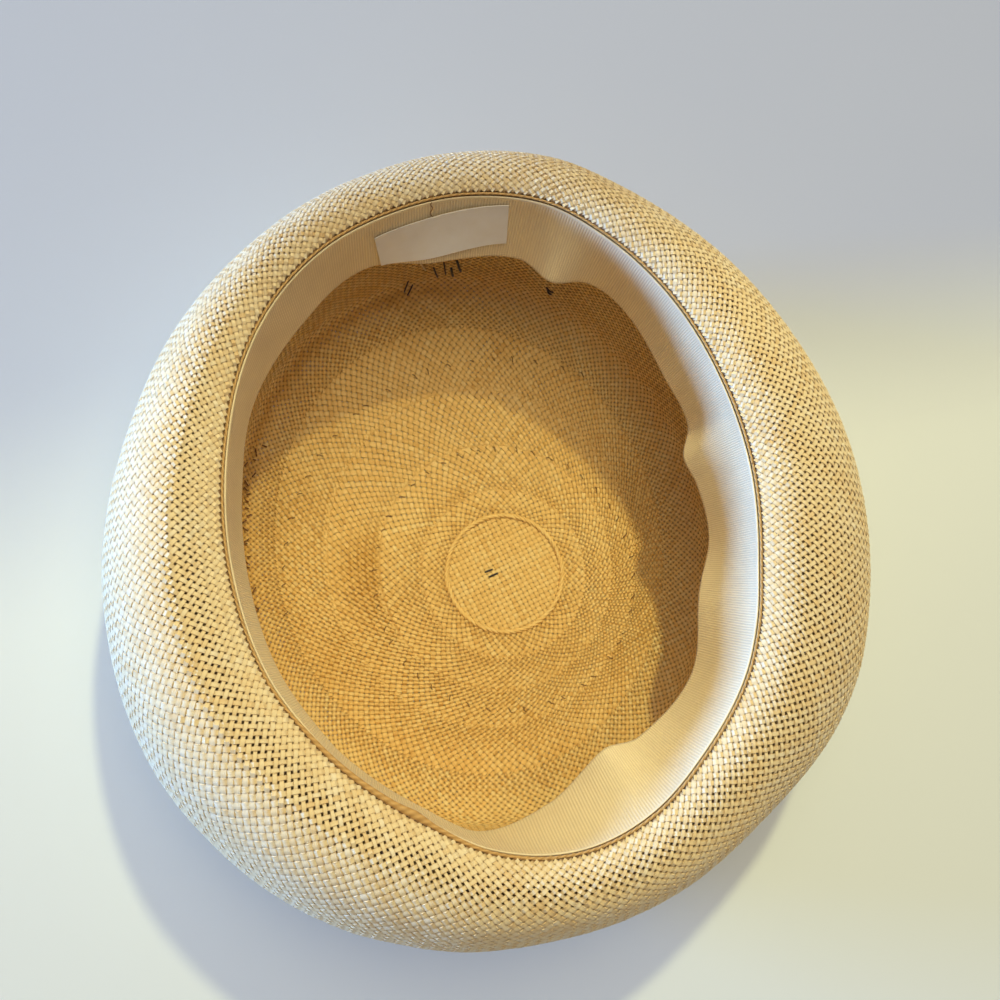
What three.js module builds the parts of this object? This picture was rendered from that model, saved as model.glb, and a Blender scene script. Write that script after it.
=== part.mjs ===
// Pillbox hat of woven straw, lying on its tip with the head opening up. Millimetres, +Z up.
// +Y is the back of the hat, where the label is sewn. Bearings are degrees from +X towards +Y.
import * as THREE from "three";

// Driving sizes
const RIM = 72; // floor to the seam where the crown meets the brim
const STRAW = 1.5; // thickness of the woven straw
const GAP = 0.3; // clearance between neighbouring pieces
const AROUND = 80; // steps round the crown and the brim
// Steps along each curve of a section, and along and across the label
const FACETS = { corner: 5, wall: 3, rising: 3, falling: 7, returning: 6, ribbon: 4, long: 14, high: 4 };

const HEAD = { halfWidth: 81, halfLength: 101 }; // oval of the crown's inner face at the rim
// How far the rim lies out of that oval, as the straw has been pushed in and out with use
const RIM_SHAPE = [
  { bearing: 0, out: -0.7 },
  { bearing: 20, out: -0.5 },
  { bearing: 40, out: 0.2 },
  { bearing: 60, out: 0.8 },
  { bearing: 70, out: 1.4 },
  { bearing: 85, out: -0.9 },
  { bearing: 100, out: -2.1 },
  { bearing: 115, out: -0.5 },
  { bearing: 128, out: 0.6 },
  { bearing: 140, out: 0.8 },
  { bearing: 160, out: 0.1 },
  { bearing: 185, out: 0.5 },
  { bearing: 207, out: 0.7 },
  { bearing: 222, out: -0.9 },
  { bearing: 245, out: -2.5 },
  { bearing: 257, out: 0 },
  { bearing: 272, out: 1.8 },
  { bearing: 285, out: 1.3 },
  { bearing: 298, out: -0.2 },
  { bearing: 315, out: 0.4 },
  { bearing: 325, out: -0.2 },
  { bearing: 338, out: -1.4 },
];
const TIP = { halfWidth: 85, halfLength: 99 }; // inner face of the crown beside the tip
const TIP_CORNER = 10; // outer radius between the tip and the side wall

const BRIM_WIDEST = 36; // height of the widest line of the rolled brim
const BRIM_EDGE = 8; // height of the free edge, tucked in beside the tip
const CREST_RISE = 0.33; // rise of the roll from the seam to its crest, over the distance between them
// How far the roll and its crest lie out from the rim: wide at the sides, narrow at the front and the back
const BRIM_ROLL = [
  { bearing: 0, crest: 10, reach: 49 },
  { bearing: 30, crest: 8.5, reach: 41 },
  { bearing: 60, crest: 6.5, reach: 30 },
  { bearing: 90, crest: 5, reach: 25 },
  { bearing: 120, crest: 6, reach: 24 },
  { bearing: 150, crest: 9, reach: 32 },
  { bearing: 180, crest: 14, reach: 40 },
  { bearing: 210, crest: 15.5, reach: 43 },
  { bearing: 240, crest: 13, reach: 40 },
  { bearing: 270, crest: 8, reach: 28 },
  { bearing: 300, crest: 8.5, reach: 35 },
  { bearing: 330, crest: 9.5, reach: 49 },
];

const RIBBON = { width: 25, thickness: 1, top: 71.8, around: 144, least: 1.2, curl: 1.3 };
// How far the free edge of the sweatband stands off the crown: a row for each wave and fold
const RIBBON_WAVES = [
  { bearing: 0, off: 9.3 },
  { bearing: 8, off: 11.9 },
  { bearing: 16, off: 5.5 },
  { bearing: 30, off: 5.8 },
  { bearing: 50, off: 2.5 },
  { bearing: 58, off: 4.8 },
  { bearing: 66, off: 14.2 },
  { bearing: 73, off: 9.2 },
  { bearing: 92, off: 10.4 },
  { bearing: 105, off: 3.3 },
  { bearing: 125, off: 4.5 },
  { bearing: 148, off: 1.8 },
  { bearing: 165, off: 2.2 },
  { bearing: 210, off: 2.1 },
  { bearing: 255, off: 1.2 },
  { bearing: 270, off: 11.1 },
  { bearing: 283, off: 20.4 },
  { bearing: 293, off: 13.3 },
  { bearing: 311, off: 8.4 },
  { bearing: 328, off: 11.6 },
  { bearing: 345, off: 6.8 },
];

const LABEL = { length: 46, height: 16, thickness: 1, bearing: 90.5, across: 0.55, slant: 6.7 };

const FINISH = {
  crown: { color: 0xd3b67c, roughness: 0.8 },
  brim: { color: 0xe4d6b2, roughness: 0.75 },
  sweatband: { color: 0xeee6d2, roughness: 0.7 },
  label: { color: 0xf3f0e8, roughness: 0.9 },
};

const radians = THREE.MathUtils.degToRad;

// Distance from the axis to an oval on a bearing
function ovalRadius({ halfWidth, halfLength }, bearing) {
  const angle = radians(bearing);
  return 1 / Math.hypot(Math.cos(angle) / halfWidth, Math.sin(angle) / halfLength);
}

// A smooth closed run through the rows of a table, as a function of the bearing
function smoothAround(rows, column) {
  const row = (i) => {
    const turns = Math.floor(i / rows.length);
    const source = rows[i - turns * rows.length];
    return { at: source.bearing + 360 * turns, value: source[column] };
  };
  const slope = (i) => {
    const [before, after] = [row(i - 1), row(i + 1)];
    return (after.value - before.value) / (after.at - before.at);
  };
  return (bearing) => {
    const turn = THREE.MathUtils.euclideanModulo(bearing, 360);
    const i = rows.findLastIndex((r) => r.bearing <= turn);
    const [a, b] = [row(i), row(i + 1)];
    const span = b.at - a.at;
    const t = (turn - a.at) / span;
    const rise = t * t * (3 - 2 * t);
    const leave = t * (1 - t) * (1 - t) * span * slope(i);
    const arrive = t * t * (1 - t) * span * slope(i + 1);
    return a.value + (b.value - a.value) * rise + leave - arrive;
  };
}

const rimShape = smoothAround(RIM_SHAPE, "out");
const brimReach = smoothAround(BRIM_ROLL, "reach");
const brimCrest = smoothAround(BRIM_ROLL, "crest");
const ribbonOff = smoothAround(RIBBON_WAVES, "off");

// Distance from the axis to the inner face of the crown at the rim
function rimRadius(bearing) {
  return ovalRadius(HEAD, bearing) + rimShape(bearing);
}

// Even steps from 0 to 1, both ends included
function steps(count) {
  return Array.from({ length: count + 1 }, (_, i) => i / count);
}

// A body turned round the hat's axis, whose closed section of [radius, height] points follows the bearing
function turnedBody(section, around) {
  const outline = section(0).map(([radius, height]) => new THREE.Vector2(radius, height));
  const geometry = new THREE.LatheGeometry(outline, around);
  const position = geometry.attributes.position;
  for (let i = 0; i <= around; i++) {
    const bearing = ((i % around) * 360) / around;
    const [cos, sin] = [Math.cos(radians(bearing)), Math.sin(radians(bearing))];
    section(bearing).forEach(([radius, height], j) => {
      position.setXYZ(i * outline.length + j, radius * cos, radius * sin, height);
    });
  }
  geometry.computeVertexNormals();
  return geometry;
}

// Distance from the axis to the inner face of the crown's side wall
function wallRadius(bearing, height) {
  return THREE.MathUtils.lerp(ovalRadius(TIP, bearing), rimRadius(bearing), height / RIM);
}

// One face of the crown, from the middle of the tip to the rim, set out from the inner face
function crownFace(bearing, out) {
  const floor = STRAW - out;
  const corner = TIP_CORNER - STRAW + out;
  const centre = wallRadius(bearing, TIP_CORNER) + STRAW - TIP_CORNER;
  const rim = RIM - GAP;
  const turn = steps(FACETS.corner).map((t) => (t * Math.PI) / 2);
  return [
    [0, floor],
    [centre / 2, floor],
    ...turn.map((a) => [centre + corner * Math.sin(a), TIP_CORNER - corner * Math.cos(a)]),
    ...steps(FACETS.wall).slice(1).map((t) => {
      const height = THREE.MathUtils.lerp(TIP_CORNER, rim, t);
      return [wallRadius(bearing, height) + out, height];
    }),
  ];
}

function crownSection(bearing) {
  return [...crownFace(bearing, STRAW), ...crownFace(bearing, 0).toReversed()];
}

// The middle of the brim's straw, from the seam over the crest and the widest line to the tucked edge
function brimMiddle(bearing) {
  const seam = rimRadius(bearing) + STRAW / 2;
  const reach = brimReach(bearing) - STRAW;
  const inner = brimCrest(bearing);
  const rise = inner * CREST_RISE;
  const crest = RIM + rise + STRAW / 2;
  const tuck = wallRadius(bearing, BRIM_EDGE) + STRAW + GAP;
  const under = seam + reach - tuck;
  const quarter = (t) => [Math.cos((t * Math.PI) / 2), Math.sin((t * Math.PI) / 2)];
  const rising = steps(FACETS.rising).map((t) => [seam + inner * t, crest - rise * (1 - t) ** 2]);
  const falling = steps(FACETS.falling).slice(1).map((t) => {
    const [cos, sin] = quarter(t);
    return [seam + inner + (reach - inner) * sin, BRIM_WIDEST + (crest - BRIM_WIDEST) * cos];
  });
  const returning = steps(FACETS.returning).slice(1).map((t) => {
    const [cos, sin] = quarter(t);
    return [tuck + under * cos, BRIM_WIDEST - (BRIM_WIDEST - BRIM_EDGE) * sin];
  });
  return [...rising, ...falling, ...returning];
}

// One face of the brim, set out from the middle of its straw
function brimFace(bearing, out) {
  const middle = brimMiddle(bearing);
  return middle.map(([radius, height], i) => {
    const before = middle[Math.max(i - 1, 0)];
    const after = middle[Math.min(i + 1, middle.length - 1)];
    const along = new THREE.Vector2(after[0] - before[0], after[1] - before[1]).normalize();
    return [radius - out * along.y, height + out * along.x];
  });
}

function brimSection(bearing) {
  const inside = brimFace(bearing, -STRAW / 2);
  const outside = brimFace(bearing, STRAW / 2);
  return [...inside, ...outside.toReversed(), inside[0]];
}

// A point of the sweatband: across runs from its sewn edge to its free edge, inward from its middle
function ribbonPoint(bearing, across, inward) {
  const off = Math.max(ribbonOff(bearing), RIBBON.least);
  const lean = Math.asin(off / RIBBON.width);
  const sewn = rimRadius(bearing) - GAP - RIBBON.thickness / 2;
  return [
    sewn - off * Math.abs(across) ** RIBBON.curl - inward * Math.cos(lean),
    RIBBON.top - RIBBON.width * Math.cos(lean) * across + inward * Math.sin(lean),
  ];
}

function ribbonSection(bearing) {
  const across = steps(FACETS.ribbon);
  const inside = across.map((t) => ribbonPoint(bearing, t, RIBBON.thickness / 2));
  const outside = across.map((t) => ribbonPoint(bearing, t, -RIBBON.thickness / 2));
  return [...inside, ...outside.toReversed(), inside[0]];
}

// The label: a flat box laid on the sweatband's inner face, slanting down towards one end
function labelGeometry() {
  const { length, height, thickness } = LABEL;
  const geometry = new THREE.BoxGeometry(length, height, thickness, FACETS.long, FACETS.high, 1);
  const position = geometry.attributes.position;
  const flat = new THREE.Vector3();
  const tilt = new THREE.Euler(0, 0, radians(LABEL.slant));
  const seat = RIBBON.thickness / 2 + GAP + thickness / 2;
  const turning = rimRadius(LABEL.bearing);
  for (let i = 0; i < position.count; i++) {
    flat.fromBufferAttribute(position, i).applyEuler(tilt);
    const bearing = LABEL.bearing - THREE.MathUtils.radToDeg(flat.x / turning);
    const across = LABEL.across - flat.y / RIBBON.width;
    const [radius, up] = ribbonPoint(bearing, across, seat + flat.z);
    position.setXYZ(i, radius * Math.cos(radians(bearing)), radius * Math.sin(radians(bearing)), up);
  }
  geometry.computeVertexNormals();
  return geometry;
}

function piece(name, geometry) {
  const mesh = new THREE.Mesh(geometry, new THREE.MeshStandardMaterial({ ...FINISH[name], metalness: 0 }));
  mesh.name = name;
  return mesh;
}

// The pieces stand round the hat's axis in an inner group, which centres the hat over the origin
const hat = new THREE.Group();
const onAxis = new THREE.Group();
onAxis.add(
  piece("crown", turnedBody(crownSection, AROUND)),
  piece("brim", turnedBody(brimSection, AROUND)),
  piece("sweatband", turnedBody(ribbonSection, RIBBON.around)),
  piece("label", labelGeometry()),
);
const middle = new THREE.Box3().setFromObject(onAxis).getCenter(new THREE.Vector3());
onAxis.position.set(-middle.x, -middle.y, 0);
hat.add(onAxis);

export default hat;
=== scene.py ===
"""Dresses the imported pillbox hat: woven straw, ribbed sweatband, label, seam and loose threads."""

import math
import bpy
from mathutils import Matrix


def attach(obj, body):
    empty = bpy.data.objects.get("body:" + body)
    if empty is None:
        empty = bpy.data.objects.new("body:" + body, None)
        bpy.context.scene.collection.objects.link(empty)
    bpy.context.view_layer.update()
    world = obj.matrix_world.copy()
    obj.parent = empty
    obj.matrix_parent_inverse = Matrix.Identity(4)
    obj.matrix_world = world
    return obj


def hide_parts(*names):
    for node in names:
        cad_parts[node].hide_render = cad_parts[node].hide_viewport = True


bl_info = {
    "name": "Straw pillbox hat",
    "version": (1, 0, 0),
    "blender": (4, 5, 0),
    "location": "View3D > Sidebar > Hat",
    "description": "Weaves the straw and sews the ribbon, label and threads of a pillbox hat over its solids",
    "category": "Object",
}

import bpy
import numpy as np
from bpy.props import FloatProperty, FloatVectorProperty, IntProperty, PointerProperty
from mathutils import Matrix, Vector

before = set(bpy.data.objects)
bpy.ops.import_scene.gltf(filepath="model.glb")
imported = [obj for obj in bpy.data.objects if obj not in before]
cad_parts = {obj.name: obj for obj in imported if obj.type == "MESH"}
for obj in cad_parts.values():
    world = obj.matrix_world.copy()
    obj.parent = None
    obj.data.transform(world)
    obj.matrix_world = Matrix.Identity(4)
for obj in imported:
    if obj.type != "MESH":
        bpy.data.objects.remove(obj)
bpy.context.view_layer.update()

# Lengths below are in millimetres round the hat's axis, as in the part's source. Bearings turn from +X to +Y.
MM = 0.001
AXIS = (-3.713, 2.86, 0.0)  # the hat's axis, which the part's source sets off the middle of its box

RIM = 72.0  # floor to the seam
STRAW = 1.5  # thickness of the solid straw
GAP = 0.3  # clear room between neighbouring solids
HEAD = (81.0, 101.0)  # half width and half length of the opening's oval
# Bearing, then how far the rim lies out of that oval
RIM_SHAPE = (
    (0, -0.7), (20, -0.5), (40, 0.2), (60, 0.8), (70, 1.4), (85, -0.9), (100, -2.1), (115, -0.5),
    (128, 0.6), (140, 0.8), (160, 0.1), (185, 0.5), (207, 0.7), (222, -0.9), (245, -2.5), (257, 0),
    (272, 1.8), (285, 1.3), (298, -0.2), (315, 0.4), (325, -0.2), (338, -1.4),
)
TIP = (85.0, 99.0)  # the same beside the tip
TIP_CORNER = 10.0  # radius of the corner between the tip and the wall, outside

BRIM_WIDEST = 36.0  # floor to the widest line of the roll
BRIM_EDGE = 8.0  # floor to the tucked edge
CREST_RISE = 0.33  # height of the crest over the seam, as a share of its way out
# The soft fold that runs along the crest on one side: where it is highest, its height and its half width
FOLD_AT, FOLD_RISE, FOLD_HALF = math.radians(195), 1.3, 4.5
# The dent on the left of the tip: the middle of its upper edge and how that edge is turned, how far the straw
# is pushed up there, how far that runs out on the steep and the gentle side, and half its length
DENT_AT, DENT_TURN = (-36.0, -6.5), math.radians(-9.5)
DENT_RISE, DENT_STEEP, DENT_GENTLE, DENT_LONG = 2.6, 9.0, 14.0, 16.0
# Painted shade in it, darker straw where its side turns from the light: the width of its sharp side, how far
# its middle lies from there, half width, strength
DENT_SHADE_SIDE, DENT_SHADE_BACK, DENT_SHADE_HALF, DENT_SHADE_DEPTH = 3.0, 5.0, 9.0, 0.4
# Bearing, then how far the crest and the widest line of the roll lie out from the rim
BRIM_ROLL = (
    (0, 10, 49), (30, 8.5, 41), (60, 6.5, 30), (90, 5, 25), (120, 6, 24), (150, 9, 32),
    (180, 14, 40), (210, 15.5, 43), (240, 13, 40), (270, 8, 28), (300, 8.5, 35), (330, 9.5, 49),
)

RIBBON_WIDTH = 25.0
RIBBON_TOP = 71.8  # floor to the sewn edge
RIBBON_SEAT = 0.8  # from the straw's face to the middle of the ribbon
RIBBON_LEAST = 1.2  # how far the free edge stands off at the least
RIBBON_CURL = 1.3  # how late the ribbon leaves the wall on its way to the free edge
RIBBON_SELVEDGE = 0.05  # share of the width that is plain at the sewn edge
RIB_STEPS = 4  # rings for one rib
RIB_PHASE = math.pi / 4  # puts two of a rib's four rings on its ridge and two in the valley
# Bearing, then how far the ribbon's free edge stands off the crown
RIBBON_WAVES = (
    (0, 9.3), (8, 11.9), (16, 5.5), (30, 5.8), (50, 2.5), (58, 4.8), (66, 14.2), (73, 9.2),
    (92, 10.4), (105, 3.3), (125, 4.5), (148, 1.8), (165, 2.2), (210, 2.1), (255, 1.2), (270, 11.1),
    (283, 20.4), (293, 13.3), (311, 8.4), (328, 11.6), (345, 6.8),
)

LABEL_SIZE = (46.0, 16.0)
LABEL_BEARING = math.radians(90.5)
LABEL_ACROSS = 0.55  # where its middle lies on the ribbon's width
LABEL_SLANT = math.radians(6.7)
LABEL_OFF = 1.1  # from the middle of the ribbon to the middle of the label

# The weave of the tip starts off the axis and drifts back to it towards the corner
WEAVE_START = np.array((9.2, -13.9))
DRIFT_FROM = 0.3  # share of the way to the corner
TIP_RING = 21.4  # radius of the raised ring round the first square of the weave
# Rings of the tip between which strands were laid in: inner and outer radius, and strands of each slant
TIP_ZONES = ((21.6, 31.0, 70), (31.0, 44.6, 100), (44.6, 60.0, 140), (60.0, 77.0, 184))
SIDE_STARTS = 77.0  # radius where the strands of the wall begin
SQUARE_TURN, SQUARE_PITCH = math.radians(17), 1.75  # turn of the first square and room for one of its strands
RING_STRANDS = 64
# The stretch of the crown's corner where dark ends stand out of the straw, their dark colour painted shade of
# the holes there: bearings and count
CORNER_ENDS = (146.0, 190.0, 24)
# Where painted shade darkens the straw of the corner's groove most, and half the height of that
CREASE_AT, CREASE_HEIGHT, CREASE_HALF = math.radians(145), 3.5, 2.2
WALL_TONE, CREASE_SHADE_DEPTH = 0.68, 0.62
# Share of its room that a strand fills: on the tip, its first square and the corner, and how much less above
TIP_FILL, SQUARE_FILL, WALL_FILL, WALL_OPENING = 0.9, 0.95, 0.93, 0.3
# The same on the brim: where it is closed, and how much less where the weave opens
BRIM_FILL, BRIM_OPENING = 0.96, 0.36

# The rings of the tip where strands were laid in: centre, radius and count of their cut ends, which are
# coloured dark as painted shade of the slits there
SPLICE_RINGS = ((9.6, -15.3, 48.1, 43), (12.1, -14.5, 82.4, 60))
# One hooked end, as steps out along the weave and to the side
SPLICE_HOOK = ((-1.2, -0.1), (-0.5, 0.05), (0.2, 0.0), (0.8, 0.2), (1.2, 0.6))

# Both ends of each dark stitch at the back, as bearing and run up the wall from its corner, then its radius
BACK_STITCHES = (
    (89.3, 8.8, 87.9, -0.5, 0.3), (87.3, 12.3, 86.3, 1.8, 0.3), (85.5, 7.8, 84.6, -0.1, 0.45),
    (84.6, 13.5, 83.2, 4.4, 0.45), (94.4, 0.8, 95.4, -5.4, 0.3), (93.4, -2.8, 94.8, -6.9, 0.3),
    (64.3, 7.9, 62.4, 6.8, 0.35), (63.8, 6.1, 62.6, 4.6, 0.35),
)
PALE_END = (92.7, 16.7, 90.9, 7.0, 0.4)  # the loose pale thread beside them
TIP_STITCHES = ((2.0, -12.4, 5.1, -11.8), (3.1, -14.4, 6.7, -13.5))  # both ends of the two on the tip
RIBBON_JOIN = math.radians(92.6)  # where the ends of the ribbon meet
SEAM_STITCHES = 330
SEAM_STEPS = 720  # rings of the seam's thread

# Where the bound edge of the brim stands up beside the seam: bearing, then its radius
RIDGE = (
    (206, 0.12), (214, 0.45), (222, 0.7), (234, 0.85), (240, 0.95), (243.5, 1.25), (247, 0.75),
    (256, 0.5), (268, 0.15),
)

# A strand's section, in shares of its half width and its thickness: a flat top with bevelled sides
STRAND_SECTION = ((1, -0.3), (0.84, 0.5), (-0.84, 0.5), (-1, -0.3))
EDGE_ANGLE = math.radians(36)  # edges of a strand that turn more than this stay crisp
MIDDLE_TONE = 0.5
STREAK_HEIGHT, PLY_HEIGHT = 0.12, 0.06  # relief of the streaks along a strand and of the plies of a thread
# Radii of threads and strand ends
SEAM_RADIUS, STITCH_RADIUS, JOIN_RADIUS, TIP_STITCH_RADIUS = 0.45, 0.15, 0.16, 0.36
SPLICE_RADIUS, CORNER_END_RADIUS, RING_RADIUS = 0.17, 0.26, 0.56
UP = (0.0, 0.0, 1.0)

# The camera: its place, what it looks at, its upward way, and its lens on a film of this width
CAMERA_AT, CAMERA_AIM = (-60.0, -47.1, 361.7), (2.4, 10.1, 35.0)
CAMERA_UP, CAMERA_LENS, CAMERA_FILM = (0.154, 0.968, 0.199), 36.1, 36.0


def oval(half, bearing):
    """Distance from the hat's axis to an oval."""
    return 1 / np.hypot(np.cos(bearing) / half[0], np.sin(bearing) / half[1])


def smooth_around(rows, column):
    """A smooth closed run through one column of a table, as a function of the bearing."""
    at = np.array([row[0] for row in rows], float)
    value = np.array([row[column] for row in rows], float)
    before, after = np.roll(at, 1), np.roll(at, -1)
    before[0] -= 360
    after[-1] += 360
    slope = (np.roll(value, -1) - np.roll(value, 1)) / (after - before)

    def run(bearing):
        turn = np.mod(np.degrees(bearing), 360)
        i = np.searchsorted(at, turn, side="right") - 1
        k = (i + 1) % len(at)
        span = np.mod(at[k] - at[i], 360)
        t = (turn - at[i]) / span
        rise = t * t * (3 - 2 * t)
        leave = t * (1 - t) ** 2 * span * slope[i]
        arrive = t * t * (1 - t) * span * slope[k]
        return value[i] + (value[k] - value[i]) * rise + leave - arrive

    return run


rim_shape = smooth_around(RIM_SHAPE, 1)
brim_crest = smooth_around(BRIM_ROLL, 1)
brim_reach = smooth_around(BRIM_ROLL, 2)
ribbon_off = smooth_around(RIBBON_WAVES, 1)


def rim_radius(bearing):
    """Distance from the axis to the inner face of the crown at the rim."""
    return oval(HEAD, bearing) + rim_shape(bearing)


def wall_radius(bearing, height):
    """Distance from the axis to the inner face of the crown's side wall."""
    share = height / RIM
    return oval(TIP, bearing) * (1 - share) + rim_radius(bearing) * share


def unit(vectors):
    return vectors / np.maximum(np.linalg.norm(vectors, axis=-1, keepdims=True), 1e-12)


def turned(bearing, radius, height):
    """Points at bearings, radii and heights round the hat's axis."""
    bearing, radius, height = np.broadcast_arrays(bearing, radius, height)
    return np.stack([radius * np.cos(bearing), radius * np.sin(bearing), height], axis=-1)


def grid_normals(points):
    """Normals of a closed grid of points whose first index runs round the axis and second along a section."""
    round_axis = np.roll(points, -1, axis=0) - np.roll(points, 1, axis=0)
    along = np.gradient(points, axis=1)
    return unit(np.cross(along, round_axis))


def even_runs(paths, fractions):
    """Points at the same fractions of the length of every path."""
    steps = np.linalg.norm(np.diff(paths, axis=1), axis=-1)
    runs = np.concatenate([np.zeros((len(paths), 1)), np.cumsum(steps, axis=1)], axis=1)
    runs /= runs[:, -1:]
    spots = np.empty((len(paths), len(fractions), paths.shape[2]))
    for path, run, spot in zip(paths, runs, spots):
        for axis in range(paths.shape[2]):
            spot[:, axis] = np.interp(fractions, run, path[:, axis])
    return spots


def weave_levels(sections, strands):
    """Fractions along a mean section of radius and height where strands that slant both ways cross."""
    step = np.linalg.norm(np.diff(sections, axis=0), axis=-1)
    radius = (sections[1:, 0] + sections[:-1, 0]) / 2
    turn = np.concatenate([[0], np.cumsum(step / radius)])
    run = np.concatenate([[0], np.cumsum(step)])
    levels = round(turn[-1] * strands / math.pi)
    return np.interp(np.linspace(0, turn[-1], levels + 1), turn, run / run[-1])


def brim_paths(bearings):
    """The middle of the brim's straw on each bearing, from the seam over the crest to the tucked edge."""
    b = bearings[:, None]
    seam = rim_radius(b) + STRAW / 2
    reach = brim_reach(b) - STRAW
    inner = brim_crest(b)
    rise = inner * CREST_RISE
    crest = RIM + rise + STRAW / 2
    tuck = wall_radius(b, BRIM_EDGE) + STRAW + GAP
    t = np.linspace(0, 1, 24)[None, :]
    rising = turned(b, seam + inner * t, crest - rise * (1 - t) ** 2)
    quarter = np.linspace(0, math.pi / 2, 60)[None, 1:]
    cos, sin = np.cos(quarter), np.sin(quarter)
    falling = turned(b, seam + inner + (reach - inner) * sin, BRIM_WIDEST + (crest - BRIM_WIDEST) * cos)
    fold = FOLD_RISE * np.clip(2 * np.cos(b - FOLD_AT) - 0.7, 0, 1)
    rising[..., 2] += fold * np.exp(-inner * (1 - t) / FOLD_HALF)
    falling[..., 2] += fold * np.exp(-(reach - inner) * sin / FOLD_HALF)
    under = seam + reach - tuck
    returning = turned(b, tuck + under * cos, BRIM_WIDEST - (BRIM_WIDEST - BRIM_EDGE) * sin)
    return np.concatenate([rising, falling, returning], axis=1)


def weave_grid(paths_at, strands):
    """Bearings, crossings and normals of a weave over the paths that a function gives for its bearings."""
    bearings = np.arange(2 * strands) * math.pi / strands
    paths = paths_at(bearings)
    mean = np.stack([np.linalg.norm(paths[..., :2], axis=-1), paths[..., 2]], axis=-1).mean(axis=0)
    points = even_runs(paths, weave_levels(mean, strands))
    return bearings, points, grid_normals(points)


def corner_radius(bearing):
    """Distance from the axis to where the flat of the tip turns up into the wall."""
    return wall_radius(bearing, TIP_CORNER) + STRAW - TIP_CORNER


MEAN_CORNER = float(np.mean(corner_radius(np.linspace(0, 2 * math.pi, 360))))


def from_dent(x, y):
    """Distance across and along the upper edge of the dent on the left of the tip."""
    cos, sin = math.cos(DENT_TURN), math.sin(DENT_TURN)
    x, y = x - DENT_AT[0], y - DENT_AT[1]
    return x * cos + y * sin, y * cos - x * sin


def dent_rise(x, y):
    """How far the tip is pushed up beside the dent: steep towards the dent, gentle towards the middle."""
    out, along = from_dent(x, y)
    reach = np.where(out < 0, DENT_STEEP, DENT_GENTLE)
    return DENT_RISE * np.exp(-((out / reach) ** 2) - (along / DENT_LONG) ** 2)


def dent_painted_shade(x, y):
    """How much painted shade darkens the straw in the dent, from 0 to 1: it ends at the upper edge and fades
    away from it.
    """
    out, along = from_dent(x, y)
    fade = np.exp(-(((out + DENT_SHADE_BACK) / DENT_SHADE_HALF) ** 2) - (along / DENT_LONG) ** 2)
    return np.clip(0.5 - out / DENT_SHADE_SIDE, 0, 1) * fade


def tip_points(bearing, radius):
    """Points of the tip at a distance from the start of its weave: circles there, ovals at the corner."""
    share = radius / MEAN_CORNER
    drift = np.clip((share - DRIFT_FROM) / (1 - DRIFT_FROM), 0, 1)
    keep = 1 - drift * drift * (3 - 2 * drift)
    out = share * (MEAN_CORNER + (corner_radius(bearing) - MEAN_CORNER) * share**2)
    flat = turned(bearing, out, STRAW / 2)
    flat[..., 0] += WEAVE_START[0] * keep
    flat[..., 1] += WEAVE_START[1] * keep
    flat[..., 2] += dent_rise(flat[..., 0], flat[..., 1])
    return flat


def side_paths(bearings):
    """The middle of the crown's straw on each bearing, from the last ring of the tip up to the rim."""
    b = bearings[:, None]
    flat = tip_points(b, np.linspace(SIDE_STARTS, MEAN_CORNER, 8)[None, :])
    arc = np.linspace(0, math.pi / 2, 16)[None, 1:]
    bend = TIP_CORNER - STRAW / 2
    centre = corner_radius(b)
    corner = turned(b, centre + bend * np.sin(arc), TIP_CORNER - bend * np.cos(arc))
    height = np.linspace(TIP_CORNER, RIM - GAP, 30)[None, 1:]
    wall = turned(b, wall_radius(b, height) + STRAW / 2, height)
    return np.concatenate([flat, corner, wall], axis=1)


def inner_face(bearing, run, inward):
    """Points on the inside of the crown: run goes up the wall from its corner, or down round the corner."""
    bend = TIP_CORNER - STRAW
    up = np.maximum(run, 0)
    arc = np.clip(-run / bend, 0, math.pi / 2)
    rounded = corner_radius(bearing) + bend * np.cos(arc)
    radius = np.where(run >= 0, wall_radius(bearing, TIP_CORNER + up), rounded)
    height = np.where(run >= 0, TIP_CORNER + up, TIP_CORNER - bend * np.sin(arc))
    return turned(bearing, radius - inward * np.cos(arc), height + inward * np.sin(arc))


def ribbon_points(bearing, across, inward):
    """Points of the sweatband: across runs from its sewn to its free edge, inward from its middle."""
    off = np.maximum(ribbon_off(bearing), RIBBON_LEAST)
    lean = np.arcsin(off / RIBBON_WIDTH)
    sewn = rim_radius(bearing) - RIBBON_SEAT
    radius = sewn - off * np.abs(across) ** RIBBON_CURL - inward * np.cos(lean)
    height = RIBBON_TOP - RIBBON_WIDTH * np.cos(lean) * across + inward * np.sin(lean)
    return turned(bearing, radius, height)


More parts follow.
